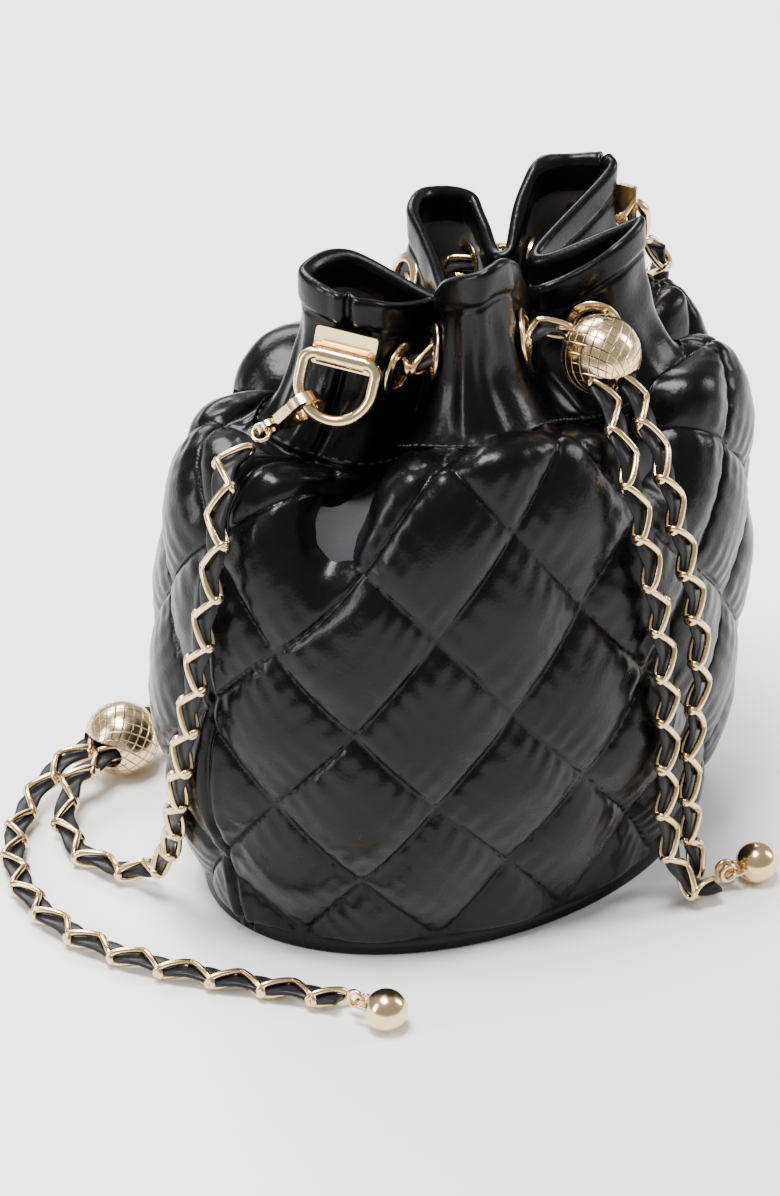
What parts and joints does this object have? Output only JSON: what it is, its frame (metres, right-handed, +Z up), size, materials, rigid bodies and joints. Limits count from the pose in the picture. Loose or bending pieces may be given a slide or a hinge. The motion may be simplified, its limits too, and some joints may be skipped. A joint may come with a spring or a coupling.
{
  "type": "bucket bag",
  "caption": "Quilted black leather bucket bag with drawstring through metal eyelets, round sliding bead closure and a leather-laced chain strap on side D-rings.",
  "frame": {"origin": "middle of the flat base, on the surface the bag stands on", "axes": "+Z up through the mouth, -Y towards the front where the drawstring tails hang, -X towards the left D-ring"},
  "size_m": [0.2471, 0.2103, 0.2003],
  "materials": {
    "black_leather": "soft gloss",
    "black_lining": "matt",
    "board": "matt",
    "gold_metal": "polished",
    "leather_laced_chain": "polished links, black leather lace"
  },
  "bodies": {
    "bag": {"base_panel": "black_leather", "base_board": "board", "base_lining": "black_lining", "back_panel": "black_leather", "front_panel": "black_leather", "back_band": "black_leather", "front_band": "black_leather", "back_lining": "black_lining", "front_lining": "black_lining", "eyelets": "gold_metal", "eyelet_washers": "gold_metal", "bracket_left": "gold_metal", "bracket_right": "gold_metal", "bracket_rivets_left": "gold_metal", "bracket_rivets_right": "gold_metal", "drawstring": "leather_laced_chain", "tail_right": "leather_laced_chain", "tail_left": "leather_laced_chain", "tail_end_links": "gold_metal", "strap_chain_left": "leather_laced_chain", "strap_chain_right": "leather_laced_chain", "strap_end_left_links": "gold_metal", "strap_end_right_links": "gold_metal"},
    "ring_left": {"d_ring_left": "gold_metal", "clasp_left": "gold_metal", "clasp_pin_left": "gold_metal", "jump_ring_left": "gold_metal"},
    "lever_left": {"clasp_lever_left": "gold_metal"},
    "ring_right": {"d_ring_right": "gold_metal", "clasp_right": "gold_metal", "clasp_pin_right": "gold_metal", "jump_ring_right": "gold_metal"},
    "lever_right": {"clasp_lever_right": "gold_metal"},
    "cinch": {"cinch_ball": "gold_metal"},
    "slider": {"strap_slider_ball": "gold_metal"},
    "tail_end": {"tail_end_ball": "gold_metal"},
    "strap_end_left": {"strap_end_left_ball": "gold_metal"},
    "strap_end_right": {"strap_end_right_ball": "gold_metal"}
  },
  "joints": [
    {"name": "d_ring_left_swing", "type": "hinge", "parent": "bag", "child": "ring_left", "pos_m": [-0.04909, -0.01327, 0.17522], "axis": [-0.6281, 0.7621, 0.157], "range_deg": [0, 30]},
    {"name": "clasp_lever_left_open", "type": "hinge", "parent": "ring_left", "child": "lever_left", "pos_m": [-0.05857, -0.00762, 0.1582], "axis": [-0.12, -0.889, -0.442], "range_deg": [0, 11], "stiffness_Nm_per_rad": 0.01},
    {"name": "d_ring_right_swing", "type": "hinge", "parent": "bag", "child": "ring_right", "pos_m": [0.06532, 0.01219, 0.17726], "axis": [0.4999, -0.8648, -0.047], "range_deg": [0, 30]},
    {"name": "clasp_lever_right_open", "type": "hinge", "parent": "ring_right", "child": "lever_right", "pos_m": [0.07117, 0.01495, 0.15643], "axis": [-0.3881, 0.9202, 0.051], "range_deg": [0, 11], "stiffness_Nm_per_rad": 0.01},
    {"name": "cinch_ball_slide", "type": "slide", "parent": "bag", "child": "cinch", "axis": [-0.1989, -0.8447, -0.4968], "range_m": [0, 0.008]},
    {"name": "slider_ball_slide", "type": "slide", "parent": "bag", "child": "slider", "axis": [-0.9876, -0.1571, 0], "range_m": [-0.006, 0.006]},
    {"name": "tail_end_ball_swing", "type": "hinge", "parent": "bag", "child": "tail_end", "pos_m": [0.0422, -0.07273, 0.006], "axis": [-0.208, -0.9781, 0], "range_deg": [0, 45]},
    {"name": "strap_end_left_ball_swing", "type": "hinge", "parent": "bag", "child": "strap_end_left", "pos_m": [0.11424, 0.05017, 0.006], "axis": [-0.9517, -0.3069, 0], "range_deg": [0, 45]},
    {"name": "strap_end_right_ball_swing", "type": "hinge", "parent": "bag", "child": "strap_end_right", "pos_m": [-0.07911, -0.05836, 0.006], "axis": [-0.9382, -0.3461, 0], "range_deg": [0, 45]}
  ]
}
